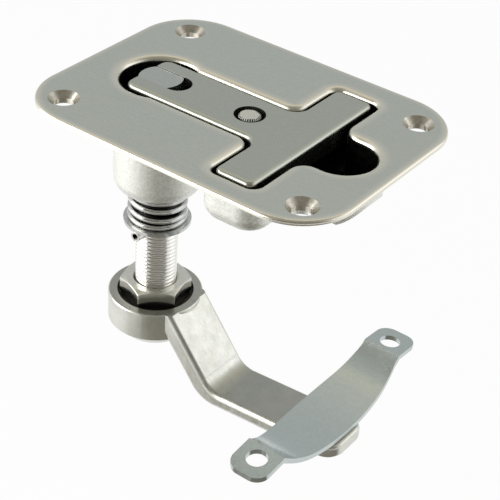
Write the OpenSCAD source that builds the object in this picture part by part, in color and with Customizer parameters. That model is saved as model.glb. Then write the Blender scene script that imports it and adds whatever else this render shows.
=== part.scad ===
// Flush catch for a floor hatch: recessed plate, T-handle, sprung spindle, cranked arm and keeper.
// Millimetres, Z up. The origin is the centre of the screw pattern on the plate's underside.
// X runs along the plate towards the finger recess. Depths are measured down from the plate's top.

/* [Plate] */
// Length of the plate
plate_l = 95.6; // [94:0.1:130]
// Width of the plate
plate_w = 71.2; // [70:0.1:100]
// Place of the plate's middle along X, from the middle of the screw holes
plate_x = -0.5; // [-1.5:0.1:1.5]
// Place of the plate's middle along Y, from the middle of the screw holes
plate_y = 0.6; // [-1.5:0.1:1.5]
// Corner radius of the plate, seen from above
plate_r = 16.5; // [10:0.5:25]
// Thickness of the plate at the screws
plate_t = 3; // [2.5:0.1:5]
// Thickness of the plate at its rim
rim_t = 1.2; // [1.1:0.1:2]
// Width of the bevel below the rim
bevel_w = 2.6; // [1:0.1:2.8]
// Radius of the rounded top rim
rim_round = 0.9; // [0.5:0.1:0.9]
// Distance between the screw holes along X
screw_dx = 75; // [70:0.5:100]
// Distance between the screw holes along Y
screw_dy = 51.5; // [48:0.5:70]
// Diameter of the screw holes
screw_d = 5.2; // [4.2:0.1:6.4]
// Diameter of the countersinks at the plate's top
countersink_d = 8.4; // [7:0.1:11]

/* [Recess] */
// Wall of the casting round the recess
wall = 2.2; // [1.8:0.1:3]
// Radius of the rounded edge all round the recess
edge_round = 1.7; // [0.5:0.1:1.8]
// Radius of the round well at the spindle
well_r = 10.9; // [10.5:0.1:12]
// Half width of the channel for the handle's stem
channel_half = 9.8; // [9:0.1:10.4]
// Near wall of the cross recess for the handle's bar
tee_x0 = 10.8; // [9:0.1:13]
// Far wall of the cross recess
tee_x1 = 25; // [24:0.1:27]
// Half length of the cross recess
tee_half = 27.5; // [24:0.1:30]
// Corner radius at the ends of the cross recess
tee_corner = 2.8; // [2:0.1:5]
// Depth of the cross recess
tee_depth = 11.2; // [7.5:0.1:12]
// Radius of the upright corners of the casting round the cross recess
tee_round = 6.5; // [5:0.1:7]
// Radius of the lower edge of that casting
tee_low_round = 4; // [2:0.1:4.2]
// Radius of the plate's corners between stem channel and cross recess
inner_corner = 4; // [2:0.1:6]
// Half width of the finger bowl
bowl_half = 8.8; // [8:0.1:9.6]
// Far end of the finger bowl
bowl_end = 40.2; // [39.5:0.1:42]
// Depth of the finger bowl
bowl_depth = 12.4; // [11.5:0.1:15]
// Radius of the scooped end of the finger bowl
bowl_scoop = 7.4; // [6:0.1:9]
// Radius of the lower edges of the casting round the finger bowl
bowl_low_round = 6; // [3:0.1:6.5]
// Radius where the finger bowl opens into the cross recess
bowl_flare = 5; // [3:0.1:5.5]

/* [Spindle boss] */
// Diameter of the boss below the well
boss_d = 25; // [24.6:0.1:30]
// Depth of the boss's lower end
boss_depth = 34; // [26:0.5:40]
// Radius of the boss's lower edge
boss_round = 4; // [1:0.1:4]

/* [Handle] */
// Depth of the handle's pivot
pivot_depth = 4.2; // [3.8:0.1:5]
// Thickness of the handle
handle_t = 6.2; // [5.5:0.1:7]
// Gap between the stem and the channel wall
handle_gap = 0.8; // [0.5:0.1:1.2]
// Gap round the bar at its near side and its tips
bar_gap = 0.9; // [0.6:0.1:1.5]
// Gap between the bar and the far wall, on the finger side
grip_gap = 1.7; // [1.2:0.1:2.5]
// Corner radius at the bar's tips
bar_corner = 2; // [1.4:0.1:4]
// Radius between stem and bar
handle_fillet = 4; // [2:0.1:5]
// Radius of the rounded top edge of the handle
handle_round = 1.4; // [0.4:0.1:1.4]
// Corner radius of the fork ends, seen from above
fork_corner = 3; // [1.6:0.1:4]
// Distance from pivot to recess floor with the handle down
cam_high = 7; // [6.4:0.1:7.6]
// Distance from pivot to recess floor with the handle up
cam_low = 5.5; // [5:0.1:6]
// Air under the cam ends, so that cam and floor never overlap
cam_gap = 0.1; // [0.05:0.01:0.2]
// Chamfer on the outer lower edges of the fork
fork_chamfer = 1.2; // [0.6:0.1:1.6]
// Diameter of the pivot pin
pin_d = 5; // [4:0.1:5.4]

/* [Locating stud] */
// Place of the stud along X
stud_x = 2.8; // [-4:0.1:4]
// Diameter of the stud
stud_d = 6; // [4:0.1:7]
// Air round the stud in the handle, which lets the handle swing clear
stud_gap = 1.2; // [1:0.1:2]
// Depth of the stud's top
stud_sink = 0.1; // [0:0.1:1.5]

/* [Spindle] */
// Place of the spindle along X
spindle_x = -26.6; // [-30:0.1:-24]
// Diameter of the spindle and its thread
spindle_d = 12; // [10:0.5:12]
// Width across the flats of the tongue
tongue_w = 7.4; // [6:0.1:8]
// Gap between tongue and fork on each side
tongue_gap = 0.2; // [0.15:0.01:0.4]
// Depth of the tongue's top
tongue_sink = 0.2; // [0.1:0.1:0.6]
// Chamfer at the spindle's lower end
spindle_chamfer = 1; // [0.5:0.1:1.5]

/* [Spring washer and roll pin] */
// Depth of the washer's upper face
washer_depth = 44.1; // [42:0.1:56]
// Diameter of the washer
washer_d = 19.2; // [18:0.1:24]
// Thickness of the washer
washer_t = 1; // [0.8:0.1:2.5]
// Diameter of the roll pin
roll_d = 3; // [2.5:0.1:4]
// Length of the roll pin
roll_l = 19; // [15:0.5:20]
// Wall of the roll pin
roll_wall = 0.55; // [0.4:0.05:0.8]
// Slit of the roll pin
roll_slit = 0.6; // [0.4:0.1:1]
// Outer diameter of the spring
spring_d = 17; // [16:0.1:18]
// Wire diameter of the spring
wire_d = 1.7; // [1.2:0.1:1.8]
// Turns of the spring
spring_turns = 3; // [2:0.5:4]

/* [Lock nut] */
// Width across the flats of the nut
nut_af = 18; // [17:0.5:18]
// Height of the nut
nut_h = 6; // [4:0.1:8]
// Depth of the hub's counterbore that takes the nut
nut_sink = 1.5; // [0.5:0.1:2.5]
// Turn of the nut about the spindle
nut_turn = -19; // [-60:1:60]

/* [Arm] */
// Depth of the hub's top
hub_depth = 69.3; // [66:0.1:90]
// Diameter of the hub
hub_d = 27.4; // [26.5:0.1:32]
// Height of the hub
hub_h = 13.2; // [12:0.1:18]
// Chamfer at the hub's lower edge
hub_chamfer = 4.4; // [1:0.1:5]
// Diameter of the counterbore in the hub
counterbore_d = 22.2; // [21.2:0.1:23]
// Width of the arm
arm_w = 17; // [14:0.1:20]
// Thickness of the sloping part
slope_t = 6.2; // [5:0.1:8]
// Thickness of the outer leg
leg_t = 4.6; // [4:0.1:7]
// Fall of the sloping part
slope_angle = 51.3; // [40:0.1:60]
// Rise of the outer leg towards its end
leg_rise = 4; // [0:0.1:6]
// Distance from the spindle to the upper bend
crease_x = 12.5; // [12:0.1:14]
// Distance from the spindle to the lower bend
knee_x = 27.9; // [24:0.1:32]
// Distance from the spindle to the arm's end
arm_reach = 70.3; // [60:0.1:90]
// Radius of the lower bend on its upper side
knee_top_r = 7; // [3:0.1:10]
// Radius of the lower bend on its lower side
knee_low_r = 10; // [4:0.1:14]
// Radius of the arm's long edges
arm_round = 1.5; // [0.5:0.1:1.9]
// Corner radius at the arm's end
arm_corner = 5.5; // [3:0.1:7]

/* [Keeper] */
// Distance from the spindle to the middle of the strap
keeper_x = 60.8; // [56:0.1:62]
// Offset of the strap along Y
keeper_y = 1.2; // [-5:0.1:5]
// Distance between the keeper's screw holes
keeper_span = 64.6; // [64:0.1:80]
// Diameter of the keeper's screw holes
keeper_hole_d = 6; // [4:0.1:7]
// Thickness of the strap
strap_t = 1.5; // [1:0.1:2.5]
// Half width of the strap in the middle
strap_half = 8.4; // [7:0.1:10]
// Half width of the strap at the necks
neck_half = 5.7; // [5:0.1:6.2]
// Outer radius of the ears
ear_r = 6.3; // [5.5:0.1:8]
// Radius of the strap's bow in its middle
bow_mid_r = 110; // [80:1:150]
// Half length of the middle part of the bow
bow_mid_half = 14; // [10:0.1:15]
// Radius of the bow beside its middle
bow_side_r = 27; // [24:0.1:27]
// Slope of the strap where it meets the ears
bow_slope = 40; // [30:1:40]
// Fall of the ears towards their ends
ear_tilt = 6; // [0:0.5:8]
// Gap between strap and arm with the handle down
keeper_gap = 0.15; // [0.1:0.01:0.3]

/* [Fits] */
// Radial clearance of turning and sliding fits
run_gap = 0.05; // [0.02:0.01:0.1]
// Radial clearance of fixed pins
fix_gap = 0.02; // [0.01:0.01:0.04]
// Clearance of parts that rest on each other
rest_gap = 0.02; // [0.01:0.01:0.05]
// Radial clearance of the washer on the spindle
washer_gap = 0.2; // [0.1:0.05:0.4]

/* [Hidden] */
$fn = 96;
over = 1;
// Small lap by which an arc crosses the lines it runs into
lap = 0.01;
// Length by which the cutters of straight edges run into those of the bends
bend_lap = 0.1;
// Length by which the scoop runs past the bowl's round end
scoop_lap = 0.5;
// Lap of the arcs at the arm's knee
knee_lap = 0.05;
// Amount by which a rounded edge crosses the faces it runs into
edge_lap = 0.004;
top = plate_t;
pan_depth = pivot_depth + cam_high + cam_gap;
bowl_cx = bowl_end - bowl_half;
bowl_x0 = tee_x0 + wall;
scoop_x = bowl_end - bowl_scoop + scoop_lap;
well_mouth = sqrt(pow(well_r, 2) - pow(channel_half, 2));
handle_half = channel_half - handle_gap;
bar_x0 = tee_x0 + bar_gap;
bar_x1 = tee_x1 - grip_gap;
bar_half = tee_half - bar_gap;
fork_x = spindle_x - cam_low;
cam_off = (cam_high - cam_low) / 2;
cam_r = (cam_high + cam_low) / 2;
stem_below = handle_t - pivot_depth;
lobe_x = 3.2;
slot_half = tongue_w / 2 + tongue_gap;
slot_cx = spindle_x + spindle_d / 2 - 0.3;
spindle_r = spindle_d / 2;
tongue_depth = pan_depth + cam_high - cam_low + 0.4;
roll_depth = washer_depth + washer_t + rest_gap + roll_d / 2;
spring_h = washer_depth - boss_depth - 2 * rest_gap;
spring_r = (spring_d - wire_d) / 2;
spring_pitch = spring_h / spring_turns;
spindle_end = hub_depth + hub_h - 0.5;

// Points of the arm's side view: x from the spindle, y from the plate's top
slope_dir = [cos(slope_angle), -sin(slope_angle)];
slope_out = [-sin(slope_angle), -cos(slope_angle)];
leg_dir = [cos(leg_rise), sin(leg_rise)];
leg_out = [sin(leg_rise), -cos(leg_rise)];
bend_sweep = slope_angle + leg_rise;
crease = [crease_x, -hub_depth];
knee = crease + slope_dir * (knee_x - crease_x) / cos(slope_angle);
knee_top_l = knee_top_r * tan(bend_sweep / 2);
knee_low_l = knee_low_r * tan(bend_sweep / 2);
crease_low = crease + slope_t * slope_out;
leg_low = knee + leg_t * leg_out;
knee_low = crease_low + slope_dir * (((leg_low - crease_low) * leg_out) / (slope_dir * leg_out));
knee_out = (slope_out + leg_out) / norm(slope_out + leg_out);
knee_top_c = knee - knee_out * (knee_top_r / cos(bend_sweep / 2) - knee_lap);
knee_low_c = knee_low - knee_out * (knee_low_r / cos(bend_sweep / 2) - knee_lap);
leg_l = (arm_reach - knee[0]) / cos(leg_rise);
leg_end = knee + leg_dir * leg_l;
leg_end_low = leg_end + leg_t * leg_out;
leg_top_end = leg_end[1] - arm_round * sin(leg_rise);

// Points of the strap's side view: x along the strap, y up from the top of its middle
bow_mid_a = asin(bow_mid_half / bow_mid_r);
bow_p1 = [bow_mid_half, bow_mid_r * (1 - cos(bow_mid_a))];
bow_c2 = bow_p1 + bow_side_r * [-sin(bow_mid_a), cos(bow_mid_a)] - [0, lap];
ear_p = bow_c2 + bow_side_r * [sin(bow_slope), -cos(bow_slope)];
bow_high = ear_p[1] + 3 * strap_t;
strap_l = keeper_span / 2 + ear_r + over;
neck_y = ear_p[0] - strap_t / 2;
lens_r = (pow(neck_y, 2) + pow(strap_half - neck_half, 2)) / (2 * (strap_half - neck_half));
keeper_z = top + leg_top_end + keeper_gap + strap_t;

// Section that a rounded edge takes away: air lies at +x and +y
module edge_section(e) {
    difference() {
        translate([-e, -e])
            square([e + over, e + over]);
        translate([-e, -e])
            circle(r = e + edge_lap);
    }
}

// Runs a section along a straight edge from p to q, with air on the left of the way
module run_line(p, q) {
    translate([p[0], p[1], 0])
        rotate([0, 0, atan2(q[1] - p[1], q[0] - p[0])])
            rotate([90, 0, 90])
                linear_extrude(height = norm(q - p))
                    children();
}

// Runs a section along an arc whose air lies outside the arc
module run_arc(c, r, start, sweep) {
    translate([c[0], c[1], 0])
        rotate([0, 0, start])
            rotate_extrude(angle = sweep)
                translate([r, 0])
                    children();
}

// Cutter for a straight rounded edge
module edge_line(p, q, e) {
    run_line(p, q)
        edge_section(e);
}

// Cutter for a rounded edge on an arc whose air lies outside the arc
module edge_arc_out(c, r, start, sweep, e) {
    run_arc(c, r, start, sweep)
        edge_section(e);
}

// Cutter for an edge on an arc whose air lies inside the arc
module edge_arc_in(c, r, start, sweep, e) {
    translate([c[0], c[1], 0])
        rotate([0, 0, start])
            rotate_extrude(angle = sweep)
                translate([r, 0])
                    mirror([1, 0])
                        edge_section(e);
}

// Both halves of something that is alike on the two sides of the XZ plane
module both_sides() {
    children();
    mirror([0, 1, 0])
        children();
}

// Rectangle with round corners, given by its two x limits and its half width
module round_rect(x0, x1, half, r) {
    translate([x0 + r, -half])
        square([x1 - x0 - 2 * r, 2 * half]);
    translate([x0, -half + r])
        square([x1 - x0, 2 * half - 2 * r]);
    for (x = [x0 + r, x1 - r], y = [-half + r, half - r])
        translate([x, y])
            circle(r = r);
}

// Filler between two walls that meet at a corner, with its free side on an arc
module corner_web(corner, sx, sy, r) {
    translate(corner)
        difference() {
            translate([sx > 0 ? 0 : -r, sy > 0 ? 0 : -r])
                square([r, r]);
            translate([sx * r, sy * r])
                circle(r = r);
        }
}

// Upright block with rounded lower corners, seen along its length
module trough_section(half, depth, r) {
    translate([-half, -depth + r])
        square([2 * half, depth - r]);
    translate([-half + r, -depth])
        square([2 * half - 2 * r, depth]);
    for (x = [-half + r, half - r])
        translate([x, -depth + r])
            circle(r = r);
}

// Box that hangs down from the plate, with upright corners of radius r and a lower edge of radius e
module hanging_box(x0, x1, half, depth, r, e) {
    mid = (x0 + x1) / 2;
    translate([x0 + r, 0, top])
        rotate([90, 0, 90])
            linear_extrude(height = x1 - x0 - 2 * r)
                trough_section(half, depth, e);
    translate([mid, half - r, top])
        rotate([90, 0, 0])
            linear_extrude(height = 2 * half - 2 * r)
                trough_section((x1 - x0) / 2, depth, e);
    for (x = [x0 + r, x1 - r], y = [-half + r, half - r])
        translate([x, y, top])
            rotate_extrude()
                intersection() {
                    trough_section(r, depth, e);
                    translate([0, -depth])
                        square([r, depth]);
                }
}

// Outline of the finger bowl, grown outwards by grow
module bowl_outline(grow) {
    translate([bowl_x0 - grow, -bowl_half - grow])
        square([bowl_cx - bowl_x0 + grow, 2 * (bowl_half + grow)]);
    translate([bowl_cx, 0])
        circle(r = bowl_half + grow);
}

// Finger bowl as a solid: straight sides and a scooped end, grown outwards by grow
module bowl_solid(grow, up) {
    deep = bowl_depth + grow;
    intersection() {
        translate([0, 0, top - deep - over])
            linear_extrude(height = deep + over + up)
                bowl_outline(grow);
        translate([0, 0, top])
            rotate([90, 0, 0])
                linear_extrude(height = 4 * bowl_half, center = true)
                    union() {
                        translate([bowl_x0 - grow - over, -deep])
                            square([scoop_x - bowl_x0 + grow + over, deep]);
                        translate([scoop_x, bowl_scoop - bowl_depth])
                            circle(r = bowl_scoop + grow);
                        translate([bowl_x0 - grow - over, bowl_scoop - bowl_depth - over])
                            square([bowl_end - bowl_x0 + 2 * grow + 2 * over,
                                    bowl_depth - bowl_scoop + 3 * over]);
                    }
    }
}

// Casting round the finger bowl, with rounded lower edges
module bowl_casting() {
    intersection() {
        bowl_solid(wall, -rim_round);
        translate([bowl_x0 - wall - over, 0, top])
            rotate([90, 0, 90])
                linear_extrude(height = bowl_end - bowl_x0 + 2 * wall + 2 * over)
                    trough_section(bowl_half + wall + scoop_lap, bowl_depth + wall + scoop_lap, bowl_low_round);
    }
}

// Cutters for the rounded edge all round the recess
module recess_edge() {
    e = edge_round;
    translate([0, 0, top])
        both_sides() {
            edge_arc_in([bowl_cx, 0], bowl_half, 0, 90, e);
            edge_line([bowl_cx, bowl_half], [tee_x1 + bowl_flare, bowl_half], e);
            edge_arc_out([tee_x1 + bowl_flare, bowl_half + bowl_flare], bowl_flare, 180, 90, e);
            edge_line([tee_x1, bowl_half + bowl_flare], [tee_x1, tee_half - tee_corner], e);
            edge_arc_in([tee_x1 - tee_corner, tee_half - tee_corner], tee_corner, 0, 90, e);
            edge_line([tee_x1 - tee_corner, tee_half], [tee_x0 + tee_corner, tee_half], e);
            edge_arc_in([tee_x0 + tee_corner, tee_half - tee_corner], tee_corner, 90, 90, e);
            edge_line([tee_x0, tee_half - tee_corner], [tee_x0, channel_half + inner_corner], e);
            edge_arc_out([tee_x0 - inner_corner, channel_half + inner_corner], inner_corner, 270, 90, e);
            edge_line([tee_x0 - inner_corner, channel_half],
                      [spindle_x + well_mouth - over, channel_half], e);
            edge_arc_in([spindle_x, 0], well_r, acos(well_mouth / well_r) - 5,
                        185 - acos(well_mouth / well_r), e);
        }
}

// Section that the bevel below the plate's rim takes away: air lies at +x and below
module bevel_section() {
    rise = plate_t - rim_t;
    polygon([[-bevel_w * (1 + over / rise), -over],
             [over, -over],
             [over, rise * (1 + over / bevel_w)]]);
}

// Runs a section round the plate's outline
module round_plate() {
    hl = plate_l / 2;
    hw = plate_w / 2;
    r = plate_r;
    both_sides() {
        run_line([-hl + r, hw], [hl - r, hw])
            children();
        run_arc([hl - r, hw - r], r, 0, 90)
            children();
        run_arc([-hl + r, hw - r], r, 90, 90)
            children();
    }
    run_line([hl, hw - r], [hl, -hw + r])
        children();
    run_line([-hl, -hw + r], [-hl, hw - r])
        children();
}

// The plate alone: rounded above the rim, bevelled below it
module plate_slab() {
    translate([plate_x, plate_y, 0])
        difference() {
            linear_extrude(height = plate_t)
                round_rect(-plate_l / 2, plate_l / 2, plate_w / 2, plate_r);
            translate([0, 0, top])
                round_plate()
                    edge_section(rim_round);
            round_plate()
                bevel_section();
        }
}

// Plate and castings before anything is cut out
module plate_blank() {
    plate_slab();
    translate([spindle_x, 0, top])
        rotate_extrude()
            intersection() {
                trough_section(boss_d / 2, boss_depth, boss_round);
                translate([0, -boss_depth])
                    square([boss_d / 2, boss_depth]);
            }
    translate([spindle_x, 0, top])
        rotate([90, 0, 90])
            linear_extrude(height = bowl_x0 + wall - spindle_x)
                trough_section(channel_half + wall, pan_depth + wall, wall);
    hanging_box(tee_x0 - wall, tee_x1 + wall, tee_half + wall, tee_depth + wall, tee_round, tee_low_round);
    bowl_casting();
    translate([0, 0, top - tee_depth - wall])
        linear_extrude(height = tee_depth + wall - rim_round)
            both_sides()
                corner_web([tee_x1 + wall, bowl_half + wall], 1, 1, bowl_flare - wall);
}

// All the air in the recess
module recess_air() {
    translate([spindle_x, 0, top - pan_depth])
        cylinder(h = pan_depth + over, r = well_r);
    translate([spindle_x, -channel_half, top - pan_depth])
        cube([bowl_x0 - spindle_x, 2 * channel_half, pan_depth + over]);
    translate([0, 0, top - tee_depth])
        linear_extrude(height = tee_depth + over) {
            round_rect(tee_x0, tee_x1, tee_half, tee_corner);
            both_sides() {
                corner_web([tee_x0, channel_half], -1, 1, inner_corner);
                corner_web([tee_x1, bowl_half], 1, 1, bowl_flare);
            }
        }
    bowl_solid(0, over);
}

module face_plate() {
    color([0.70, 0.70, 0.67])
        difference() {
            plate_blank();
            recess_air();
            recess_edge();
            translate([spindle_x, 0, top - boss_depth - over])
                cylinder(h = boss_depth, r = spindle_r + run_gap);
            translate([stud_x, 0, top - pan_depth - wall - over])
                cylinder(h = wall + 2 * over, r = stud_d / 2 + fix_gap);
            for (x = [-screw_dx / 2, screw_dx / 2], y = [-screw_dy / 2, screw_dy / 2])
                translate([x, y, 0]) {
                    translate([0, 0, -over])
                        cylinder(h = plate_t + 2 * over, r = screw_d / 2);
                    translate([0, 0, top - (countersink_d - screw_d) / 2])
                        cylinder(h = (countersink_d - screw_d) / 2 + over, r1 = screw_d / 2,
                                 r2 = countersink_d / 2 + over);
                }
        }
}

module locating_stud() {
    low = top - pan_depth - wall;
    color([0.62, 0.62, 0.60])
        translate([stud_x, 0, 0]) {
            translate([0, 0, low])
                cylinder(h = pan_depth + wall - stud_sink - 0.4, r = stud_d / 2);
            translate([0, 0, top - stud_sink - 0.4])
                cylinder(h = 0.4, r1 = stud_d / 2, r2 = stud_d / 2 - 0.4);
        }
}

// Outline of the handle from above
module handle_outline() {
    difference() {
        union() {
            translate([fork_x + fork_corner, -handle_half])
                square([bar_x0 + 1 - fork_x - fork_corner, 2 * handle_half]);
            translate([fork_x, -handle_half + fork_corner])
                square([2 * fork_corner, 2 * (handle_half - fork_corner)]);
            both_sides() {
                translate([fork_x + fork_corner, handle_half - fork_corner])
                    circle(r = fork_corner);
                corner_web([bar_x0, handle_half], -1, 1, handle_fillet);
            }
            round_rect(bar_x0, bar_x1, bar_half, bar_corner);
        }
        translate([fork_x - over, -slot_half])
            square([slot_cx - fork_x + over, 2 * slot_half]);
        translate([slot_cx, 0])
            circle(r = slot_half);
        translate([stud_x, 0])
            circle(r = stud_d / 2 + stud_gap);
    }
}

// Side view of the handle: x and y from the pivot, with the cam below and behind it
module handle_side() {
    reach = bar_x1 - spindle_x + over;
    translate([-cam_low - over, -cam_off])
        square([reach + cam_low + over, pivot_depth + cam_off]);
    translate([cam_off, -stem_below])
        square([reach - cam_off, stem_below + pivot_depth]);
    intersection() {
        translate([cam_off, -cam_off])
            circle(r = cam_r);
        translate([-cam_low - over, -cam_high - over])
            square([cam_low + over + cam_off, cam_high + over - cam_off]);
    }
    polygon([[cam_off, -cam_off], [cam_off, -cam_high], [lobe_x, -cam_high],
             [lobe_x + cam_high - stem_below, -stem_below], [lobe_x + cam_high - stem_below, 0]]);
}

// Cutters for the handle's rounded top edge
module handle_edge() {
    e = handle_round;
    translate([0, 0, top])
        both_sides() {
            edge_line([fork_x, 0], [fork_x, handle_half - fork_corner], e);
            edge_arc_out([fork_x + fork_corner, handle_half - fork_corner], fork_corner, 90, 90, e);
            edge_line([fork_x + fork_corner, handle_half], [bar_x0 - handle_fillet, handle_half], e);
            edge_arc_in([bar_x0 - handle_fillet, handle_half + handle_fillet], handle_fillet, 270, 90, e);
            edge_line([bar_x0, handle_half + handle_fillet], [bar_x0, bar_half - bar_corner], e);
            edge_arc_out([bar_x0 + bar_corner, bar_half - bar_corner], bar_corner, 90, 90, e);
            edge_line([bar_x0 + bar_corner, bar_half], [bar_x1 - bar_corner, bar_half], e);
            edge_arc_out([bar_x1 - bar_corner, bar_half - bar_corner], bar_corner, 0, 90, e);
            edge_line([bar_x1, bar_half - bar_corner], [bar_x1, -over], e);
        }
}

module handle() {
    color([0.68, 0.68, 0.65])
        difference() {
            intersection() {
                translate([0, 0, top - pivot_depth - cam_high])
                    linear_extrude(height = pivot_depth + cam_high)
                        handle_outline();
                translate([spindle_x, 0, top - pivot_depth])
                    rotate([90, 0, 0])
                        linear_extrude(height = 2 * bar_half + 2 * over, center = true)
                            handle_side();
            }
            handle_edge();
            both_sides()
                translate([spindle_x, handle_half, top - pivot_depth - cam_high])
                    rotate([45, 0, 0])
                        cube([4 * cam_high, fork_chamfer * sqrt(2), fork_chamfer * sqrt(2)], center = true);
            translate([spindle_x, 0, top - pivot_depth])
                rotate([90, 0, 0])
                    cylinder(h = 2 * handle_half + 2 * over, r = pin_d / 2 + fix_gap, center = true);
        }
}

module pivot_pin() {
    color([0.60, 0.60, 0.58])
        translate([spindle_x, 0, top - pivot_depth])
            rotate([90, 0, 0])
                cylinder(h = 2 * handle_half - 1, r = pin_d / 2, center = true);
}

module spindle() {
    color([0.78, 0.78, 0.76])
        translate([spindle_x, 0, top])
            difference() {
                union() {
                    translate([0, 0, -spindle_end + spindle_chamfer])
                        cylinder(h = spindle_end - spindle_chamfer - tongue_sink, r = spindle_r);
                    translate([0, 0, -spindle_end])
                        cylinder(h = spindle_chamfer, r1 = spindle_r - spindle_chamfer, r2 = spindle_r);
                }
                both_sides()
                    translate([-spindle_d, tongue_w / 2, -tongue_depth])
                        cube([2 * spindle_d, spindle_d, tongue_depth + over]);
                translate([0, 0, -pivot_depth])
                    rotate([90, 0, 0])
                        cylinder(h = 2 * spindle_d, r = pin_d / 2 + run_gap, center = true);
                translate([0, 0, -roll_depth])
                    rotate([90, 0, 0])
                        cylinder(h = 2 * spindle_d, r = roll_d / 2 + fix_gap, center = true);
            }
}

// Level cut through the spring's wire: a crescent whose width follows the round wire
module wire_section() {
    span = 360 * wire_d / 2 / spring_pitch;
    steps = 12;
    half = [for (i = [0 : steps]) span * sin(-90 + 180 * i / steps)];
    wide = [for (i = [0 : steps]) wire_d / 2 * cos(-90 + 180 * i / steps)];
    polygon(concat(
        [for (i = [0 : steps]) (spring_r + wide[i]) * [cos(half[i]), sin(half[i])]],
        [for (i = [steps - 1 : -1 : 1]) (spring_r - wide[i]) * [cos(half[i]), sin(half[i])]]));
}

module return_spring() {
    color([0.80, 0.80, 0.79])
        translate([spindle_x, 0, top - washer_depth + rest_gap])
            linear_extrude(height = spring_h, twist = -360 * spring_turns, slices = 32 * spring_turns,
                           segments = 24)
                wire_section();
}

module spring_washer() {
    color([0.74, 0.74, 0.72])
        translate([spindle_x, 0, top - washer_depth - washer_t])
            difference() {
                cylinder(h = washer_t, r = washer_d / 2);
                translate([0, 0, -over])
                    cylinder(h = washer_t + 2 * over, r = spindle_r + washer_gap);
            }
}

module roll_pin() {
    color([0.72, 0.72, 0.70])
        translate([spindle_x, 0, top - roll_depth])
            rotate([90, 0, 0])
                linear_extrude(height = roll_l, center = true)
                    difference() {
                        circle(r = roll_d / 2);
                        circle(r = roll_d / 2 - roll_wall);
                        translate([-roll_slit / 2, -roll_d])
                            square([roll_slit, roll_d]);
                    }
}

module lock_nut() {
    corner_r = nut_af / 2 / cos(30);
    flat_r = nut_af / 2 - 0.3;
    drop = (corner_r - flat_r) * tan(30);
    color([0.74, 0.73, 0.69])
        translate([spindle_x, 0, top - hub_depth - nut_sink + rest_gap])
            rotate([0, 0, nut_turn])
                difference() {
                    intersection() {
                        cylinder(h = nut_h, r = corner_r, $fn = 6);
                        rotate_extrude()
                            polygon([[0, 0], [flat_r, 0], [corner_r + 0.01, drop],
                                     [corner_r + 0.01, nut_h - drop], [flat_r, nut_h], [0, nut_h]]);
                    }
                    translate([0, 0, -over])
                        cylinder(h = nut_h + 2 * over, r = spindle_r + run_gap);
                    translate([0, 0, nut_h - 0.6])
                        cylinder(h = 0.7, r1 = spindle_r + run_gap, r2 = spindle_r + run_gap + 0.7);
                }
}

// Side view of the arm from the hub to its end
module arm_side() {
    difference() {
        polygon([[0, -hub_depth], crease, knee - slope_dir * knee_top_l, knee + leg_dir * knee_top_l,
                 leg_end, leg_end_low, knee_low, crease_low, [0, crease_low[1]]]);
        translate(knee_top_c)
            circle(r = knee_top_r);
        difference() {
            polygon([knee_low_c, knee_low - slope_dir * knee_low_l + over * slope_out,
                     knee_low + over * (slope_out + leg_out),
                     knee_low + leg_dir * knee_low_l + over * leg_out]);
            translate(knee_low_c)
                circle(r = knee_low_r);
        }
    }
}

// Cutters for the edges of slope and knee, on one side of the arm
module arm_edge() {
    e = arm_round;
    edge_line(crease - slope_dir * 2, knee - slope_dir * (knee_top_l - bend_lap), e);
    edge_arc_in(knee_top_c, knee_top_r, 270 - slope_angle, bend_sweep, e);
    edge_arc_out(knee_low_c, knee_low_r, 270 - slope_angle, bend_sweep, e);
    edge_line(knee_low - slope_dir * (knee_low_l - bend_lap), crease_low - slope_dir, e);
}

// Cutters for the rim of the leg's upper face, over the length l; the end lies at x = 0
module leg_rim(l) {
    e = arm_round;
    both_sides() {
        edge_line([-l, arm_w / 2], [-arm_corner, arm_w / 2], e);
        edge_arc_out([-arm_corner, arm_w / 2 - arm_corner], arm_corner, 0, 90, e);
    }
    edge_line([0, arm_w / 2 - arm_corner], [0, -arm_w / 2 + arm_corner], e);
}

// Cutters that round the leg's end, seen from above, and its rims
module leg_rounds() {
    translate([leg_end[0], 0, leg_end[1]])
        rotate([0, -leg_rise, 0]) {
            translate([0, 0, -leg_t - over])
                linear_extrude(height = leg_t + 2 * over)
                    both_sides()
                        translate([0, arm_w / 2])
                            edge_section(arm_corner);
            leg_rim(leg_l - knee_top_l + bend_lap);
            translate([0, 0, -leg_t])
                mirror([0, 0, 1])
                    leg_rim(norm(leg_end_low - knee_low) - knee_low_l + bend_lap);
        }
}

module arm_bar() {
    difference() {
        rotate([90, 0, 0])
            difference() {
                linear_extrude(height = arm_w, center = true)
                    arm_side();
                translate([0, 0, arm_w / 2])
                    arm_edge();
                mirror([0, 0, 1])
                    translate([0, 0, arm_w / 2])
                        arm_edge();
            }
        leg_rounds();
    }
}

module hub() {
    r = hub_d / 2;
    translate([0, 0, -hub_depth - hub_h])
        rotate_extrude()
            polygon([[0, 0], [r - hub_chamfer, 0], [r, hub_chamfer], [r, hub_h - 0.3], [r - 0.3, hub_h],
                     [0, hub_h]]);
}

module catch_arm() {
    color([0.73, 0.72, 0.68])
        translate([spindle_x, 0, top])
            difference() {
                union() {
                    hub();
                    arm_bar();
                }
                translate([0, 0, -hub_depth - hub_h - over])
                    cylinder(h = hub_h + 2 * over, r = spindle_r + run_gap);
                translate([0, 0, -hub_depth - nut_sink])
                    cylinder(h = nut_sink + over, r = counterbore_d / 2);
            }
}

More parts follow.
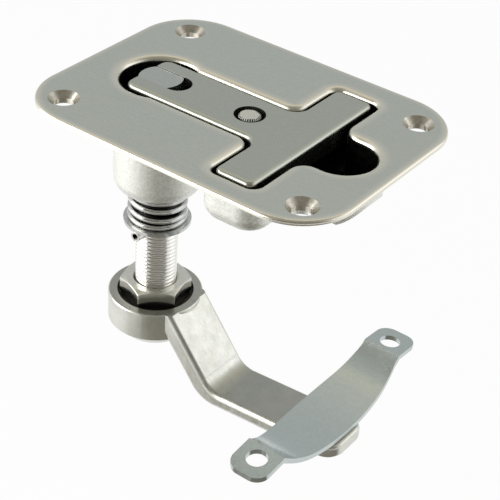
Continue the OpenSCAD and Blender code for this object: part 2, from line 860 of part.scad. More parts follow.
// Space above one of the strap's two faces, in side view; t is 0 for the upper face
module strap_space(t) {
    intersection() {
        translate([0, bow_mid_r])
            circle(r = bow_mid_r + t);
        translate([-bow_mid_half, -2 * strap_t])
            square([2 * bow_mid_half, bow_high + 2 * strap_t]);
    }
    for (side = [0, 1])
        mirror([side, 0]) {
            translate(bow_c2)
                circle(r = bow_side_r + t);
            translate(ear_p)
                rotate(-ear_tilt)
                    translate([-over, -t])
                        square([strap_l, bow_high]);
        }
}

// Side view of the strap
module strap_side() {
    intersection() {
        difference() {
            strap_space(strap_t);
            strap_space(0);
        }
        translate([-strap_l, -2 * strap_t])
            square([2 * strap_l, bow_high]);
    }
}

// Outline of the strap from above
module strap_outline() {
    intersection() {
        translate([lens_r - strap_half, 0])
            circle(r = lens_r);
        translate([strap_half - lens_r, 0])
            circle(r = lens_r);
        square([4 * strap_half, keeper_span], center = true);
    }
    both_sides() {
        translate([-neck_half, neck_y - 3 * over])
            square([2 * neck_half, keeper_span / 2 - neck_y + 3 * over]);
        translate([0, keeper_span / 2])
            circle(r = ear_r);
    }
}

module keeper_strap() {
    high = 2 * bow_side_r;
    color([0.68, 0.70, 0.71])
        translate([spindle_x + keeper_x, keeper_y, keeper_z])
            difference() {
                intersection() {
                    rotate([90, 0, 90])
                        linear_extrude(height = 2 * strap_half + 2 * over, center = true)
                            strap_side();
                    translate([0, 0, -high / 2])
                        linear_extrude(height = high)
                            strap_outline();
                }
                for (y = [-keeper_span / 2, keeper_span / 2])
                    translate([0, y, -high / 2])
                        cylinder(h = high, r = keeper_hole_d / 2);
            }
}

face_plate();
locating_stud();
handle();
pivot_pin();
spindle();
return_spring();
spring_washer();
roll_pin();
lock_nut();
catch_arm();
keeper_strap();
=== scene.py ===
import math
import bmesh
import bpy
from mathutils import Matrix, Vector


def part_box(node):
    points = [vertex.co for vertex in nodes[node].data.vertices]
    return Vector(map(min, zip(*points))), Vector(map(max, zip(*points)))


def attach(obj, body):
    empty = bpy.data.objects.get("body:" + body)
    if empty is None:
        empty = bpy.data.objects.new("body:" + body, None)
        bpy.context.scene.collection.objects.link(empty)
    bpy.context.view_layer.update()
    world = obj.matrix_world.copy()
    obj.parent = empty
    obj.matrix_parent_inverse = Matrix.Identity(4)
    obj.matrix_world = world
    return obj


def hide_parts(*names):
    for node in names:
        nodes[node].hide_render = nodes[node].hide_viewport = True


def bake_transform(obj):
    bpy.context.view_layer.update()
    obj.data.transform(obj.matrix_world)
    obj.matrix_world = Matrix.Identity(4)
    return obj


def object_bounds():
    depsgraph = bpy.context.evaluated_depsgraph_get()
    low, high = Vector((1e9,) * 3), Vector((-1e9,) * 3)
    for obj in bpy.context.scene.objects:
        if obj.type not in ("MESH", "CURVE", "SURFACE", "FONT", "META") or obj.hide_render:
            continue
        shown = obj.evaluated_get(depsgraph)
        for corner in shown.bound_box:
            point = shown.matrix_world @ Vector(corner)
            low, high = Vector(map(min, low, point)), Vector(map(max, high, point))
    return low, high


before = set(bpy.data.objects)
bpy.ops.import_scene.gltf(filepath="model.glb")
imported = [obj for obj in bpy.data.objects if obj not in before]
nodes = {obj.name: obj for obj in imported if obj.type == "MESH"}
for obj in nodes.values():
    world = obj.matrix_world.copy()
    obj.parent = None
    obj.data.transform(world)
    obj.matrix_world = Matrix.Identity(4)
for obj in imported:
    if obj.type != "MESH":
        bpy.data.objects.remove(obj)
cad_box = [list(map(float, corner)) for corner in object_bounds()]
MM = 0.001

# Sizes and places of the part, in millimetres
SPINDLE_X = -26.6
WELL_R = 10.9
CHANNEL_HALF = 9.8
TEE_X0 = 10.8
TEE_X1 = 25.0
TEE_HALF = 27.5
TEE_CORNER = 2.8
BOWL_END = 40.2
BOWL_HALF = 8.8
EDGE_ROUND = 1.7
PLATE_CORNER = 16.5
SCREW_DX = 75.0
SCREW_DY = 51.5
COUNTERSINK_R = 4.3
STUD_X = 2.8
STUD_R = 3.0
HUB_POCKET_R = 11.2
HUB_BORE_R = 6.3
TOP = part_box("face_plate")[1].z / MM
NUT_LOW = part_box("lock_nut")[0].z / MM
PIN_BOX = [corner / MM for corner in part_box("roll_pin")]


# Node helpers
def new_material(name):
    mat = bpy.data.materials.new(name)
    mat.use_nodes = True
    tree = mat.node_tree
    tree.nodes.clear()
    out = tree.nodes.new("ShaderNodeOutputMaterial")
    bsdf = tree.nodes.new("ShaderNodeBsdfPrincipled")
    tree.links.new(bsdf.outputs["BSDF"], out.inputs["Surface"])
    return mat, tree, bsdf


def math_node(tree, operation, a, b=0.0):
    node = tree.nodes.new("ShaderNodeMath")
    node.operation = operation
    for socket, value in zip(node.inputs, (a, b)):
        if isinstance(value, (int, float)):
            socket.default_value = value
        else:
            tree.links.new(value, socket)
    return node.outputs[0]


def split(tree, vector):
    """Outputs X, Y and Z of a vector."""
    node = tree.nodes.new("ShaderNodeSeparateXYZ")
    tree.links.new(vector, node.inputs[0])
    return node.outputs


def coordinates(tree, kind):
    return tree.nodes.new("ShaderNodeTexCoord").outputs[kind]


def noise(tree, coords, scale, detail=4.0, rough=0.55):
    node = tree.nodes.new("ShaderNodeTexNoise")
    node.inputs["Scale"].default_value = scale
    node.inputs["Detail"].default_value = detail
    node.inputs["Roughness"].default_value = rough
    tree.links.new(coords, node.inputs["Vector"])
    return node.outputs["Fac"]


def ramp(tree, value, stops):
    node = tree.nodes.new("ShaderNodeValToRGB")
    while len(node.color_ramp.elements) < len(stops):
        node.color_ramp.elements.new(0.5)
    for element, (place, colour) in zip(node.color_ramp.elements, stops):
        element.position = place
        element.color = (*colour, 1.0)
    tree.links.new(value, node.inputs["Fac"])
    return node.outputs["Color"]


def spread(tree, value, low, high, start=0.3, end=0.7):
    """Value stretched from start and end to low and high."""
    node = tree.nodes.new("ShaderNodeMapRange")
    node.inputs["From Min"].default_value = start
    node.inputs["From Max"].default_value = end
    node.inputs["To Min"].default_value = low
    node.inputs["To Max"].default_value = high
    tree.links.new(value, node.inputs["Value"])
    return node.outputs["Result"]


def stretched(tree, coords, scale):
    node = tree.nodes.new("ShaderNodeMapping")
    node.inputs["Scale"].default_value = scale
    tree.links.new(coords, node.inputs["Vector"])
    return node.outputs["Vector"]


def mixed(tree, factor, first, second):
    """Mix of two colours. The second is a socket or a plain colour."""
    node = tree.nodes.new("ShaderNodeMix")
    node.data_type = "RGBA"
    tree.links.new(factor, node.inputs["Factor"])
    tree.links.new(first, node.inputs[6])
    if isinstance(second, tuple):
        node.inputs[7].default_value = (*second, 1.0)
    else:
        tree.links.new(second, node.inputs[7])
    return node.outputs[2]


def soft_edges(tree, radius):
    """Normal that is worn round at the edges, with the radius in millimetres."""
    node = tree.nodes.new("ShaderNodeBevel")
    node.samples = 6
    node.inputs["Radius"].default_value = radius * MM
    return node.outputs["Normal"]


def bump(tree, bsdf, heights, last=None):
    """Chain of bumps, each a height, a strength and a depth in metres, on top of the normal last."""
    for value, strength, distance in heights:
        node = tree.nodes.new("ShaderNodeBump")
        node.inputs["Strength"].default_value = strength
        node.inputs["Distance"].default_value = distance
        tree.links.new(value, node.inputs["Height"])
        if last is not None:
            tree.links.new(last, node.inputs["Normal"])
        last = node.outputs["Normal"]
    tree.links.new(last, bsdf.inputs["Normal"])


# Steel finishes: noise scales are per metre, bump depths in metres
GRAIN_DEPTH = 0.0001
BRUSH_DEPTH = 0.00005
PIT_DEPTH = 0.0002
PIT_SCALE = 2200.0
DARK_AT = 0.32
LIGHT_AT = 0.68
UPWARD_FROM = 0.72
UPWARD_FULL = 0.97


def steel(name, dark, light, rough, grain=0.03, grain_scale=1200.0, brush=None, brush_strength=0.03, pits=0.0,
          drift=0.15, drift_scale=45.0, rough_swing=0.07, soft=0.0, top=None):
    """Stainless steel: slow drift and fine grain in colour, grain or brush marks in roughness and bump.

    soft is the wear of the edges in millimetres, and top the two darker colours of the faces that look up,
    which are painted shade."""
    mat, tree, bsdf = new_material(name)
    coords = coordinates(tree, "Object")
    slow = noise(tree, coords, drift_scale, 2.0)
    fine = noise(tree, coords, grain_scale, 4.0, 0.6)
    bsdf.inputs["Metallic"].default_value = 1.0
    both = math_node(tree, "ADD", math_node(tree, "MULTIPLY", slow, drift),
                     math_node(tree, "MULTIPLY", fine, 1.0 - drift))
    colour = ramp(tree, both, [(DARK_AT, dark), (LIGHT_AT, light)])
    # Faces that look up are mixed towards darker colours: painted shade
    if top:
        facing = split(tree, coordinates(tree, "Normal"))["Z"]
        painted_top_shade = spread(tree, facing, 0.0, 1.0, UPWARD_FROM, UPWARD_FULL)
        colour = mixed(tree, painted_top_shade, colour, ramp(tree, both, [(DARK_AT, top[0]), (LIGHT_AT, top[1])]))
    tree.links.new(colour, bsdf.inputs["Base Color"])
    heights = [(fine, grain, GRAIN_DEPTH)]
    rough_from = fine
    if brush:
        marks = noise(tree, stretched(tree, coords, brush), 1.0, 3.0, 0.6)
        heights.append((marks, brush_strength, BRUSH_DEPTH))
        rough_from = marks
    if pits:
        heights.append((noise(tree, coords, PIT_SCALE, 5.0, 0.7), pits, PIT_DEPTH))
    roughness = spread(tree, rough_from, rough - rough_swing, rough + rough_swing)
    tree.links.new(roughness, bsdf.inputs["Roughness"])
    bump(tree, bsdf, heights, soft_edges(tree, soft) if soft else None)
    return mat


def box_distance(tree, x, y, low, high, corner):
    """Distance from the outline of a rounded rectangle, below zero inside it."""
    over = []
    for value, a, b in ((x, low[0], high[0]), (y, low[1], high[1])):
        off = math_node(tree, "ABSOLUTE", math_node(tree, "SUBTRACT", value, (a + b) / 2))
        over.append(math_node(tree, "SUBTRACT", off, (b - a) / 2 - corner))
    squares = [math_node(tree, "POWER", math_node(tree, "MAXIMUM", side, 0.0), 2.0) for side in over]
    outside = math_node(tree, "SQRT", math_node(tree, "ADD", *squares))
    inside = math_node(tree, "MINIMUM", math_node(tree, "MAXIMUM", *over), 0.0)
    return math_node(tree, "SUBTRACT", math_node(tree, "ADD", outside, inside), corner)


# Painted highlight bands of the plate: how strong the painted highlight is, and where it starts to fade and
# ends, in millimetres
LIP_HIGHLIGHT = 0.6
LIP_FADE = (EDGE_ROUND - 0.6, EDGE_ROUND + 1.6)
RIM_HIGHLIGHT = 0.7
RIM_FADE = (0.4, 2.2)


def paint_lip_highlights(mat, colour):
    """Lighten the plate's steel along its rim and round the recess: a painted highlight that stands in for
    the light the rounded edges catch.
    """
    tree = mat.node_tree
    bsdf = tree.nodes["Principled BSDF"]
    place = split(tree, coordinates(tree, "Object"))
    x = math_node(tree, "DIVIDE", place["X"], MM)
    y = math_node(tree, "DIVIDE", place["Y"], MM)
    shapes = [((SPINDLE_X - WELL_R, -WELL_R), (SPINDLE_X + WELL_R, WELL_R), WELL_R),
              ((SPINDLE_X, -CHANNEL_HALF), (TEE_X1, CHANNEL_HALF), 0.0),
              ((TEE_X0, -TEE_HALF), (TEE_X1, TEE_HALF), TEE_CORNER),
              ((TEE_X0, -BOWL_HALF), (BOWL_END, BOWL_HALF), BOWL_HALF)]
    recess_far = box_distance(tree, x, y, *shapes[0])
    for shape in shapes[1:]:
        recess_far = math_node(tree, "MINIMUM", recess_far, box_distance(tree, x, y, *shape))
    low, high = (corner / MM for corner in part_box("face_plate"))
    rim_far = math_node(tree, "MULTIPLY", box_distance(tree, x, y, low, high, PLATE_CORNER), -1.0)
    lip = spread(tree, recess_far, LIP_HIGHLIGHT, 0.0, *LIP_FADE)
    rim = spread(tree, rim_far, RIM_HIGHLIGHT, 0.0, *RIM_FADE)
    plain = bsdf.inputs["Base Color"].links[0].from_socket
    # The plain steel is mixed towards the painted highlight colour in these bands
    highlighted = mixed(tree, math_node(tree, "MAXIMUM", lip, rim), plain, colour)
    tree.links.new(highlighted, bsdf.inputs["Base Color"])


KNURL_TEETH = 30.0
KNURL_DEPTH = 0.0002
KNURL_FLANK = 0.6


def knurl(name, colour, shade):
    """Steel with ridges round an upright axis at the stud, the valleys between them painted near black as
    shade.
    """
    mat, tree, bsdf = new_material(name)
    coords = coordinates(tree, "Object")
    place = split(tree, coords)
    across = math_node(tree, "SUBTRACT", place["X"], STUD_X * MM)
    angle = math_node(tree, "ARCTAN2", place["Y"], across)
    wave = math_node(tree, "SINE", math_node(tree, "MULTIPLY", angle, KNURL_TEETH))
    ridges = spread(tree, wave, 0.0, 1.0, -KNURL_FLANK, KNURL_FLANK)
    tree.links.new(ramp(tree, ridges, [(0.2, shade), (0.8, colour)]), bsdf.inputs["Base Color"])
    bsdf.inputs["Metallic"].default_value = 1.0
    tree.links.new(spread(tree, noise(tree, coords, 900.0), 0.3, 0.45), bsdf.inputs["Roughness"])
    bump(tree, bsdf, [(wave, 0.3, KNURL_DEPTH)])
    return mat


# Materials: dark and light colour, roughness, then grain, brush marks and wear
BRUSH_ALONG_X = (90.0, 2200.0, 2200.0)
BRUSH_ALONG_Z = (2200.0, 2200.0, 90.0)
FINE_BRUSH = {"grain": 0.004, "grain_scale": 900.0, "brush_strength": 0.006, "rough_swing": 0.03}

satin = steel("satin_steel", (0.55, 0.575, 0.53), (0.585, 0.61, 0.565), 0.28, brush=BRUSH_ALONG_X,
              **FINE_BRUSH)
# Beige painted highlight along the plate's rim and round the recess edges
paint_lip_highlights(satin, (0.86, 0.81, 0.70))
handle_satin = steel("handle_steel", (0.46, 0.48, 0.43), (0.49, 0.51, 0.46), 0.28, brush=BRUSH_ALONG_X,
                     **FINE_BRUSH)
tongue_steel = steel("tongue_steel", (0.49, 0.515, 0.50), (0.53, 0.555, 0.54), 0.27, brush=BRUSH_ALONG_Z,
                     **FINE_BRUSH)
cast = steel("cast_steel", (0.68, 0.685, 0.63), (0.90, 0.905, 0.855), 0.42, grain=0.10, grain_scale=1500.0,
             pits=0.55, drift=0.1)
# Near-black steel for the recesses: painted shade where the light does not reach
recess_shade = steel("recess_painted_shade", (0.025, 0.025, 0.023), (0.05, 0.049, 0.046), 0.36, grain=0.05,
               grain_scale=700.0)
countersink = steel("countersink_steel", (0.46, 0.43, 0.36), (0.62, 0.59, 0.52), 0.24, grain=0.02,
                    grain_scale=900.0, brush=(900.0, 900.0, 60.0), brush_strength=0.04)
machined = steel("machined_steel", (0.66, 0.655, 0.605), (0.74, 0.735, 0.685), 0.20, grain=0.01,
                 grain_scale=900.0, rough_swing=0.03, soft=0.4)
thread_steel = steel("thread_steel", (0.82, 0.81, 0.77), (0.90, 0.89, 0.85), 0.16, grain=0.005,
                     grain_scale=900.0, rough_swing=0.03)
# Near-black steel for the shank inside the spring: painted shade between the coils
shank_shade = steel("shank_painted_shade", (0.02, 0.02, 0.019), (0.05, 0.049, 0.046), 0.30, grain=0.03,
                   grain_scale=900.0)
spring_wire = steel("spring_steel", (0.52, 0.525, 0.51), (0.66, 0.665, 0.65), 0.17, grain=0.02,
                    grain_scale=900.0)
# The arm's faces that look up get darker colours: painted shade
forged = steel("arm_steel", (0.60, 0.60, 0.54), (0.76, 0.765, 0.715), 0.33, grain=0.015, grain_scale=1500.0,
               brush=(700.0, 700.0, 40.0), brush_strength=0.03, drift=0.6, drift_scale=150.0,
               top=((0.36, 0.37, 0.34), (0.44, 0.45, 0.415)))
# Near-black steel for the nut's pocket and the roll pin's bore: painted shade
pocket_shade = steel("pocket_painted_shade", (0.02, 0.02, 0.019), (0.05, 0.049, 0.046), 0.40, grain=0.05, grain_scale=700.0)
strap = steel("strap_steel", (0.51, 0.56, 0.55), (0.56, 0.61, 0.60), 0.22, grain=0.006, grain_scale=900.0,
              brush=(2200.0, 60.0, 2200.0), brush_strength=0.03, rough_swing=0.06)
# The near-black second colour is painted shade in the valleys between the ridges
stud_side = knurl("stud_knurl_painted_shade", (0.55, 0.56, 0.53), (0.02, 0.02, 0.02))


# CAD nodes and their finishes
def set_materials(data, *mats, pick=None):
    """Give a mesh its materials. pick tells each face's material from its middle and its normal."""
    data.materials.clear()
    for mat in mats:
        data.materials.append(mat)
    if pick:
        for poly in data.polygons:
            poly.material_index = pick(poly.center / MM, poly.normal)


# Limits that tell the finishes apart: lengths in millimetres, and shares of a face's normal
SLACK = 0.3
LIP_SLACK = 0.1
LIP_REACH = 2.0
BOWL_RUN = 4.0
BOWL_LAP = 1.0
RIM_BAND = 1.3
RECESS_LOW = -10.4
LEVEL = 0.95
TURNED_UP = 0.3
TURNED_OUT = 0.2
KNURL_BAND = 0.7
PIN_WALL = 0.3
PIN_END = 0.5


def plate_finish(c, n):
    """0 satin, 1 cast, 2 recess, painted near black as shade, 3 countersink."""
    x, y, z = c.x, abs(c.y), c.z
    if math.hypot(abs(x) - SCREW_DX / 2, y - SCREW_DY / 2) < COUNTERSINK_R and n.z < LEVEL:
        return 3
    if z > TOP - EDGE_ROUND - LIP_SLACK and n.z > TURNED_UP:
        return 0
    well = math.hypot(x - SPINDLE_X, y) < WELL_R + SLACK
    channel = SPINDLE_X < x < TEE_X0 + LIP_REACH and y < CHANNEL_HALF + SLACK + LIP_REACH
    tee = TEE_X0 - SLACK < x < TEE_X1 + SLACK and y < TEE_HALF + SLACK
    lip = LIP_REACH if z > TOP - EDGE_ROUND - SLACK or x < TEE_X1 + BOWL_RUN else 0.0
    bowl = TEE_X1 - BOWL_LAP < x < BOWL_END + SLACK and y < BOWL_HALF + SLACK + lip
    far_end = n.x > TURNED_OUT and x > TEE_X1 + BOWL_RUN
    outer = n.z < TURNED_UP and (n.y * c.y > TURNED_OUT * y or far_end)
    if (well or channel or tee or bowl) and z > RECESS_LOW and n.z > -TURNED_OUT and not outer:
        return 2
    return 0 if z > TOP - RIM_BAND else 1


def arm_finish(c, n):
    """0 arm, 1 pocket for the nut, painted near black as shade."""
    away = math.hypot(c.x - SPINDLE_X, c.y)
    return 1 if HUB_BORE_R < away < HUB_POCKET_R and c.z > NUT_LOW - SLACK and n.z > -TURNED_OUT else 0


def stud_finish(c, n):
    """0 top, 1 ridged side."""
    return 1 if math.hypot(c.x - STUD_X, c.y) > STUD_R - KNURL_BAND else 0


def pin_finish(c, n):
    """0 outside, 1 bore of the roll pin, painted near black as shade."""
    low, high = PIN_BOX
    away = math.hypot(c.x - (low.x + high.x) / 2, c.z - (low.z + high.z) / 2)
    return 1 if away < (high.x - low.x) / 2 - PIN_WALL and abs(n.y) < PIN_END else 0


set_materials(nodes["handle"].data, handle_satin)
set_materials(nodes["locating_stud"].data, satin, stud_side, pick=stud_finish)
set_materials(nodes["pivot_pin"].data, machined)
set_materials(nodes["spring_washer"].data, spring_wire)
set_materials(nodes["roll_pin"].data, machined, pocket_shade, pick=pin_finish)
set_materials(nodes["lock_nut"].data, machined)
set_materials(nodes["catch_arm"].data, forged, pocket_shade, pick=arm_finish)


def piece(name, bm, mats, body):
    """Visible piece from a mesh, riding on a body. Without a body it is left unattached."""
    mesh = bpy.data.meshes.new(name)
    bm.normal_update()
    bm.to_mesh(mesh)
    bm.free()
    for mat in mats:
        mesh.materials.append(mat)
    obj = bpy.data.objects.new(name, mesh)
    bpy.context.scene.collection.objects.link(obj)
    if body:
        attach(obj, body)
    return obj


# Plate: the CAD casting without the hair-thin fin on the lip of the handle's well
def plate_casting():
    hair = 0.001 * MM
    bm = bmesh.new()
    bm.from_mesh(nodes["face_plate"].data)
    fin = [f for f in bm.faces if all(abs(v.co.y) < hair for v in f.verts)]
    bmesh.ops.delete(bm, geom=fin, context="FACES")
    bmesh.ops.remove_doubles(bm, verts=[v for v in bm.verts if abs(v.co.y) < hair], dist=2 * hair)
    obj = piece("plate_casting", bm, (), "plate")
    set_materials(obj.data, satin, cast, recess_shade, countersink, pick=plate_finish)
    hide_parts("face_plate")


plate_casting()

# Keeper: the CAD strap with its round ears drawn out to square ones, which run straight into the band
KEEPER_X = 34.2
KEEPER_Y = 1.2
KEEPER_SPAN = 64.6
KEEPER_HOLE_R = 3.0
EAR_R = 6.3
EAR_HALF = 5.9
EAR_CORNER = 4.0
EAR_NECK = 9.0
EAR_TILT = 6.0
RING_TOLERANCE = 0.05
HOLE_MARGIN = 0.5
TINY = 0.001


def square_ear(x, out):
    """New place of a point on the outline of an ear: across and outward from the hole, in millimetres."""
    far = math.hypot(x, out)
    if out <= 0.0:
        on_ring = abs(far - EAR_R) < RING_TOLERANCE
        half = EAR_HALF if on_ring else max(abs(x), EAR_HALF)
        return math.copysign(half, x), out
    reach = min(EAR_HALF / max(abs(x), TINY), EAR_R / max(out, TINY))
    corner_x = EAR_HALF - EAR_CORNER
    corner_out = EAR_R - EAR_CORNER
    if abs(x) * reach > corner_x and out * reach > corner_out:
        along = abs(x) / far * corner_x + out / far * corner_out
        beside = corner_x ** 2 + corner_out ** 2 - along ** 2
        reach = (along + math.sqrt(EAR_CORNER ** 2 - beside)) / far
    return x * reach, out * reach


def keeper_bow():
    bm = bmesh.new()
    bm.from_mesh(nodes["keeper_strap"].data)
    for v in bm.verts:
        x = v.co.x / MM - KEEPER_X
        y = v.co.y / MM - KEEPER_Y
        out = abs(y) - KEEPER_SPAN / 2
        if out < -EAR_NECK or math.hypot(x, out) < KEEPER_HOLE_R + HOLE_MARGIN:
            continue
        new_x, new_out = square_ear(x, out)
        v.co.x = (KEEPER_X + new_x) * MM
        v.co.y = (KEEPER_Y + math.copysign(KEEPER_SPAN / 2 + new_out, y)) * MM
        v.co.z -= (new_out - out) * math.tan(math.radians(EAR_TILT)) * MM
    obj = piece("keeper_bow", bm, (strap,), "plate")
    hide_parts("keeper_strap")


keeper_bow()

# Threaded spindle: the CAD bar down to the washer, and a cut thread below it, in millimetres
THREAD_CREST = 6.0
THREAD_ROOT = 5.7
THREAD_PITCH = 1.25
THREAD_CHAMFER = 1.0
THREAD_START = 0.2
THREAD_AROUND = 64
THREAD_STEPS = 8
WELD = 0.002
SHARP_EDGE = 0.6


def round_spindle(r, share, z):
    """Point at radius r and height z, a share of a turn round the spindle."""
    turn = 2 * math.pi * share
    return SPINDLE_X * MM + r * MM * math.cos(turn), r * MM * math.sin(turn), z * MM


def cut_thread(bm, start, end):
    """Round-bottomed thread from start down to end: each line of the mesh follows the helix."""
    mean = (THREAD_CREST + THREAD_ROOT) / 2
    depth = (THREAD_CREST - THREAD_ROOT) / 2
    lines = int(THREAD_STEPS * ((start - end) / THREAD_PITCH + 1)) + 1
    grid = []
    for i in range(lines + 1):
        wave = mean + depth * math.cos(2 * math.pi * i / THREAD_STEPS)
        line = []
        for k in range(THREAD_AROUND + 1):
            z = start + THREAD_PITCH * (1 - i / THREAD_STEPS - k / THREAD_AROUND)
            r = min(wave, THREAD_CREST - max(0.0, THREAD_CHAMFER - (z - end)))
            line.append(bm.verts.new(round_spindle(r, k / THREAD_AROUND, min(start, max(end, z)))))
        grid.append(line)
    for upper, lower in zip(grid, grid[1:]):
        for k in range(THREAD_AROUND):
            bm.faces.new((upper[k], lower[k], lower[k + 1], upper[k + 1])).smooth = True
    low_end = [bm.verts.new(round_spindle(THREAD_CREST - THREAD_CHAMFER, k / THREAD_AROUND, end))
               for k in range(THREAD_AROUND)]
    bm.faces.new(low_end[::-1])
    made = [v for line in grid for v in line] + low_end
    bmesh.ops.remove_doubles(bm, verts=made, dist=WELD * MM)
    bmesh.ops.dissolve_degenerate(bm, edges=bm.edges[:], dist=WELD * MM)


def slice_level(bm, z, **options):
    """Cut the mesh at height z, in metres."""
    parts = bm.verts[:] + bm.edges[:] + bm.faces[:]
    bmesh.ops.bisect_plane(bm, geom=parts, plane_co=(0, 0, z), **options)


def threaded_spindle():
    """Finishes: 0 tongue, 1 shank inside the spring, painted near black as shade, 2 thread."""
    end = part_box("spindle")[0].z / MM
    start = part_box("spring_washer")[0].z / MM - THREAD_START
    bm = bmesh.new()
    bm.from_mesh(nodes["spindle"].data)
    slice_level(bm, start * MM, plane_no=(0, 0, -1), clear_outer=True)
    shank_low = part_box("spring_washer")[1].z
    shank_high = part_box("return_spring")[1].z
    for z in (shank_low, shank_high):
        slice_level(bm, z, plane_no=(0, 0, 1))
    for e in bm.edges:
        e.smooth = e.calc_face_angle(0.0) < SHARP_EDGE
    for f in bm.faces:
        f.smooth = True
        if shank_low < f.calc_center_median().z < shank_high:
            f.material_index = 1
    bar_faces = len(bm.faces)
    cut_thread(bm, start, end)
    bm.faces.ensure_lookup_table()
    for f in bm.faces[bar_faces:]:
        f.material_index = 2
    bmesh.ops.recalc_face_normals(bm, faces=bm.faces[:])
    obj = piece("spindle_thread", bm, (tongue_steel, shank_shade, thread_steel), "spindle")
    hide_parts("spindle")


threaded_spindle()

# Spring: round wire with close-wound ends, stretched between boss and washer, in millimetres
SPRING_D = 17.0
SPRING_WIRE = 1.7
SPRING_TURNS = 4.2
SPRING_FIRST = 40.0
SPRING_STEPS = 300
SPRING_RING = 14
WAVE_PART = 0.35
WAVE_END = 0.10
EVEN_END = 0.13


def between_ends(share, end):
    """Share of the way between two flat ends, each as long as end."""
    return min(1.0, max(0.0, (share - end) / (1.0 - 2 * end)))


def spring_drop(share):
    """Share of the spring's height at a share of its wire: an even lead, softened at both ends."""
    wave = 0.5 - 0.5 * math.cos(math.pi * between_ends(share, WAVE_END))
    return WAVE_PART * wave + (1.0 - WAVE_PART) * between_ends(share, EVEN_END)


def return_spring():
    low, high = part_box("return_spring")
    wire = SPRING_WIRE / 2
    mean = SPRING_D / 2 - wire
    top = high.z / MM - wire
    bottom = low.z / MM + wire
    centres = []
    for i in range(SPRING_STEPS + 1):
        share = i / SPRING_STEPS
        turn = 2 * math.pi * SPRING_TURNS * share + math.radians(SPRING_FIRST)
        z = top + (bottom - top) * spring_drop(share)
        centres.append(Vector((SPINDLE_X + mean * math.cos(turn), mean * math.sin(turn), z)))
    bm = bmesh.new()
    grid = []
    for i, c in enumerate(centres):
        along = (centres[min(SPRING_STEPS, i + 1)] - centres[max(0, i - 1)]).normalized()
        out = Vector((c.x - SPINDLE_X, c.y, 0)).normalized()
        side = along.cross(out).normalized()
        out = side.cross(along).normalized()
        ring = []
        for k in range(SPRING_RING):
            turn = 2 * math.pi * k / SPRING_RING
            ring.append(bm.verts.new((c + wire * (math.cos(turn) * out + math.sin(turn) * side)) * MM))
        grid.append(ring)
    for first, second in zip(grid, grid[1:]):
        for k in range(SPRING_RING):
            after = (k + 1) % SPRING_RING
            bm.faces.new((first[k], first[after], second[after], second[k])).smooth = True
    bm.faces.new(grid[0][::-1])
    bm.faces.new(grid[-1])
    bmesh.ops.recalc_face_normals(bm, faces=bm.faces[:])
    obj = piece("spring_coil", bm, (spring_wire,), None)
    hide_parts("return_spring")
    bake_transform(obj)


return_spring()

# Camera at the photograph's view: pixels of its square frame, angles in degrees, lengths in millimetres
FRAME_PX = 500.0
FOCAL_PX = 1470.34
SENSOR = 36.0
AZIMUTH = 34.722
ELEVATION = 34.894
ROLL = 4.042
DISTANCE = 375.71
SHIFT_X = 2.274
SHIFT_Y = -35.634


def camera():
    az, el, roll = (math.radians(v) for v in (AZIMUTH, ELEVATION, ROLL))
    back = Vector((math.sin(az) * math.cos(el), -math.cos(az) * math.cos(el), math.sin(el)))
    level = Vector((math.cos(az), math.sin(az), 0))
    upright = back.cross(level)
    right = level * math.cos(roll) + upright * math.sin(roll)
    up = upright * math.cos(roll) - level * math.sin(roll)
    place = (back * DISTANCE + right * SHIFT_X + up * SHIFT_Y + Vector((0, 0, TOP))) * MM
    cam = bpy.data.cameras.new("camera")
    cam.sensor_width = SENSOR
    cam.lens = FOCAL_PX / FRAME_PX * SENSOR
    cam.clip_start = 0.01
    cam.clip_end = 20.0
    obj = bpy.data.objects.new("camera", cam)
    rows = [(right[i], up[i], back[i], place[i]) for i in range(3)]
    obj.matrix_world = Matrix((*rows, (0, 0, 0, 1)))
    bpy.context.scene.collection.objects.link(obj)
    bpy.context.scene.camera = obj


camera()


# Stage, in metres
def background_rays(tree):
    """1 for rays that show the background: from the camera, from reflections and through glass."""
    path = tree.nodes.new("ShaderNodeLightPath")
    two = math_node(tree, "MAXIMUM", path.outputs["Is Camera Ray"], path.outputs["Is Glossy Ray"])
    return math_node(tree, "MAXIMUM", two, path.outputs["Is Transmission Ray"])


def flat_sheet(name, corners, z, mat):
    bm = bmesh.new()
    bm.faces.new([bm.verts.new((x, y, z)) for x, y in corners])
    mesh = bpy.data.meshes.new(name)
    bm.to_mesh(mesh)
    bm.free()
    mesh.materials.append(mat)
    obj = bpy.data.objects.new(name, mesh)
    bpy.context.scene.collection.objects.link(obj)
    return obj


FLOOR_DROP = 0.12
FLOOR_HALF = 3.0
FLOOR_GLOW = 0.95
FLOOR_Z = cad_box[0][2] - FLOOR_DROP


def white_floor():
    """Floor that shows as white and still takes the object's shadow."""
    mat, tree, bsdf = new_material("floor_white")
    bsdf.inputs["Base Color"].default_value = (0.95, 0.95, 0.95, 1)
    bsdf.inputs["Roughness"].default_value = 0.9
    glow = tree.nodes.new("ShaderNodeEmission")
    glow.inputs["Color"].default_value = (1, 1, 1, 1)
    glow.inputs["Strength"].default_value = 1.0
    mix = tree.nodes.new("ShaderNodeMixShader")
    tree.links.new(math_node(tree, "MULTIPLY", background_rays(tree), FLOOR_GLOW), mix.inputs["Fac"])
    tree.links.new(bsdf.outputs["BSDF"], mix.inputs[1])
    tree.links.new(glow.outputs["Emission"], mix.inputs[2])
    tree.links.new(mix.outputs["Shader"], tree.nodes["Material Output"].inputs["Surface"])
    half = FLOOR_HALF
    flat_sheet("floor", [(-half, -half), (half, -half), (half, half), (-half, half)], FLOOR_Z, mat)


white_floor()

CARD_LIFT = 0.002
CARD_RIGHT = 0.45
CARD_FRONT = -0.60
CARD_BACK = 0.03
TAB_LEFT = -0.115
TAB_FRONT = -0.175
TAB_BACK = -0.085


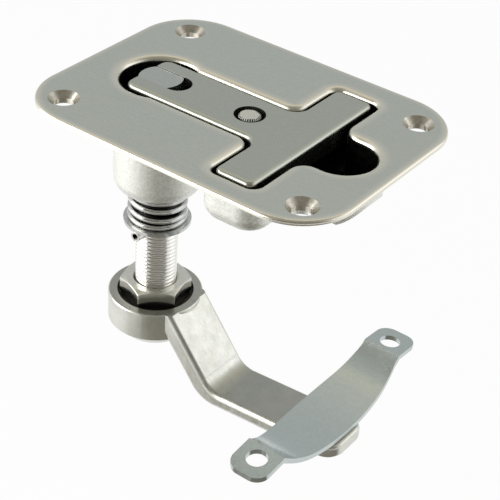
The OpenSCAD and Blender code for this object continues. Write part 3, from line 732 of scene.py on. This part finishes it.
def grey_card():
    """Card on the floor at the right, with a tab to the left in front, for the metal to reflect."""
    mat, _, bsdf = new_material("grey_card")
    bsdf.inputs["Base Color"].default_value = (0.36, 0.34, 0.29, 1)
    bsdf.inputs["Roughness"].default_value = 0.9
    corners = [(0.0, CARD_FRONT), (CARD_RIGHT, CARD_FRONT), (CARD_RIGHT, CARD_BACK), (0.0, CARD_BACK),
               (0.0, TAB_BACK), (TAB_LEFT, TAB_BACK), (TAB_LEFT, TAB_FRONT), (0.0, TAB_FRONT)]
    card = flat_sheet("grey_card", corners, FLOOR_Z + CARD_LIFT, mat)
    card.visible_camera = False
    card.visible_shadow = False


grey_card()

# World: share 0 lies towards the camera, 1 away from it
AWAY_X = -0.57
AWAY_Y = 0.82
ROOF_FROM = 0.60
ROOF_FULL = 0.76
WALL_STOPS = [(0.20, (0.20, 0.19, 0.17)), (0.32, (1, 1, 1)), (0.65, (1, 1, 1)), (0.875, (0.60, 0.61, 0.60)),
              (1.0, (0.58, 0.60, 0.60))]
ROOF_STOPS = [(0.50, (0.32, 0.31, 0.27)), (0.61, (0.80, 0.74, 0.61)), (0.75, (0.82, 0.77, 0.66)),
              (0.90, (0.60, 0.61, 0.60))]


def studio_world():
    """White low down, dark towards the camera, grey behind and warm overhead."""
    world = bpy.data.worlds.new("studio")
    bpy.context.scene.world = world
    world.use_nodes = True
    tree = world.node_tree
    tree.nodes.clear()
    way = split(tree, coordinates(tree, "Generated"))
    away = math_node(tree, "ADD", math_node(tree, "MULTIPLY", way["X"], AWAY_X),
                     math_node(tree, "MULTIPLY", way["Y"], AWAY_Y))
    share = spread(tree, away, 0.0, 1.0, -1.0, 1.0)
    overhead = spread(tree, way["Z"], 0.0, 1.0, ROOF_FROM, ROOF_FULL)
    sky = mixed(tree, overhead, ramp(tree, share, WALL_STOPS), ramp(tree, share, ROOF_STOPS))
    seen = tree.nodes.new("ShaderNodeBackground")
    seen.inputs["Strength"].default_value = 1.0
    tree.links.new(sky, seen.inputs["Color"])
    fill = tree.nodes.new("ShaderNodeBackground")
    fill.inputs["Color"].default_value = (0.95, 0.97, 0.98, 1)
    fill.inputs["Strength"].default_value = 0.45
    mix = tree.nodes.new("ShaderNodeMixShader")
    tree.links.new(background_rays(tree), mix.inputs["Fac"])
    tree.links.new(fill.outputs[0], mix.inputs[1])
    tree.links.new(seen.outputs[0], mix.inputs[2])
    out = tree.nodes.new("ShaderNodeOutputWorld")
    tree.links.new(mix.outputs[0], out.inputs["Surface"])


studio_world()


def area(name, place, target, size, power, colour=(1, 1, 1)):
    """Rectangular lamp at a place, turned to a target. It is not seen by the camera."""
    light = bpy.data.lights.new(name, "AREA")
    light.shape = "RECTANGLE"
    light.size, light.size_y = size
    light.energy = power
    light.color = colour
    obj = bpy.data.objects.new(name, light)
    obj.location = place
    direction = Vector(target) - Vector(place)
    obj.rotation_euler = direction.to_track_quat("-Z", "Y").to_euler()
    obj.visible_camera = False
    bpy.context.scene.collection.objects.link(obj)


LOW_LAMP_LIFT = 0.03
area("key", place=(-0.58, -0.69, 0.33), target=(0, 0, -0.02), size=(0.9, 0.48), power=5.5,
     colour=(1.0, 0.99, 0.96))
area("low", place=(-0.28, -0.22, FLOOR_Z + LOW_LAMP_LIFT), target=(-0.03, 0, -0.03), size=(0.5, 0.3),
     power=0.36)
area("rim", place=(0.60, 0.62, 0.25), target=(0, 0, -0.06), size=(0.6, 0.5), power=0.4)

bpy.context.scene.view_settings.view_transform = "Standard"
